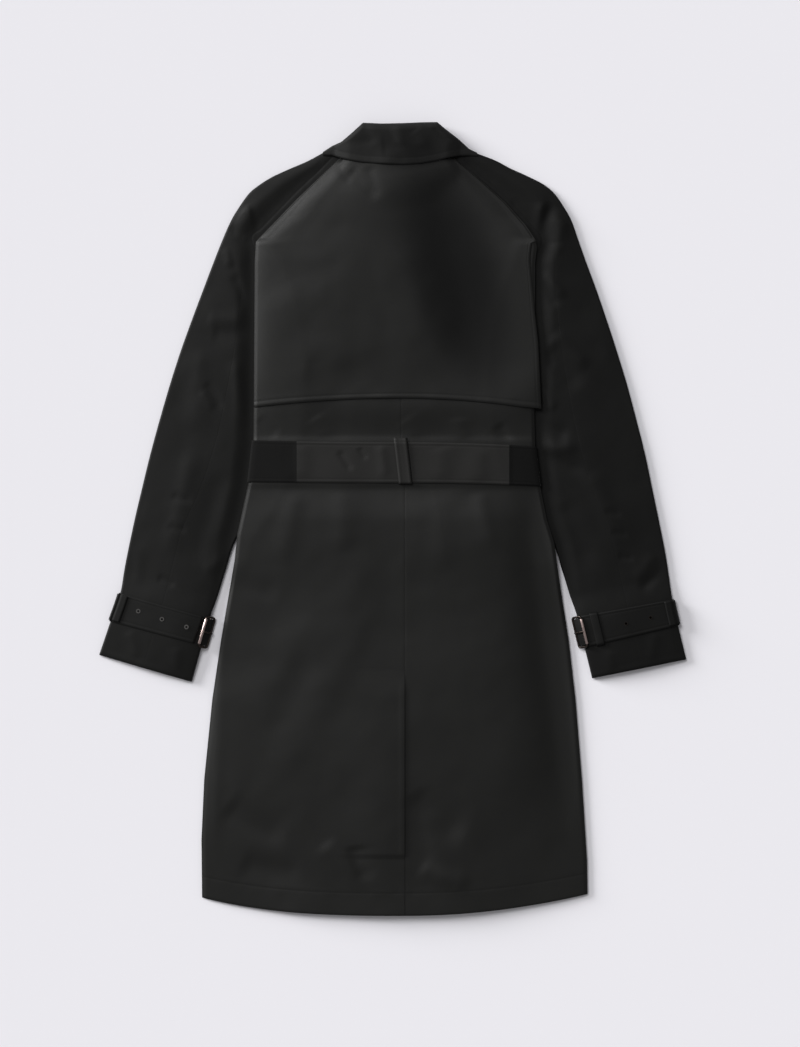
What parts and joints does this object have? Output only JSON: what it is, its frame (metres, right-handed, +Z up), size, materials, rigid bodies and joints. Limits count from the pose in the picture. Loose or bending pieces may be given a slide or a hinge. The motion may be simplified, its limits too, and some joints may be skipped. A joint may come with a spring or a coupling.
{
  "type": "belted raglan trench coat, laid flat",
  "caption": "Near-black belted trench coat with raglan sleeves, storm flap, buckled cuff straps and a centre back vent, laid flat with its back up.",
  "frame": {"origin": "middle of the coat's box in plan, on the surface that the coat lies on", "axes": "+Y from the hem to the collar, +X to the right as seen from above with the collar up, +Z up out of the coat's back"},
  "size_m": [0.735, 0.9918, 0.0163],
  "materials": {
    "coat_cloth": "matt twill, near black",
    "belt_cloth": "matt twill, a shade lighter than the coat",
    "buckle_metal": "dark gunmetal, polished",
    "button_plastic": "dark brown, half matt"
  },
  "bodies": {
    "root": {"back_left": "coat_cloth", "back_right": "coat_cloth", "front_left": "coat_cloth", "front_right": "coat_cloth", "storm_flap": "coat_cloth", "sleeve_front_left": "coat_cloth", "sleeve_back_left": "coat_cloth", "sleeve_front_right": "coat_cloth", "sleeve_back_right": "coat_cloth", "cuff_strap_left": "coat_cloth", "cuff_strap_right": "coat_cloth", "strap_loop_left": "coat_cloth", "strap_loop_right": "coat_cloth", "keeper_right": "coat_cloth", "collar_fall": "coat_cloth", "collar_stand": "coat_cloth", "belt_back": "belt_cloth", "belt_front": "belt_cloth", "belt_loop": "belt_cloth", "cuff_buckle_left": "buckle_metal", "cuff_prong_left": "buckle_metal", "cuff_buckle_right": "buckle_metal", "cuff_prong_right": "buckle_metal", "belt_buckle": "buckle_metal", "button_1": "button_plastic", "button_2": "button_plastic", "button_3": "button_plastic", "button_4": "button_plastic", "button_5": "button_plastic"}
  },
  "joints": []
}
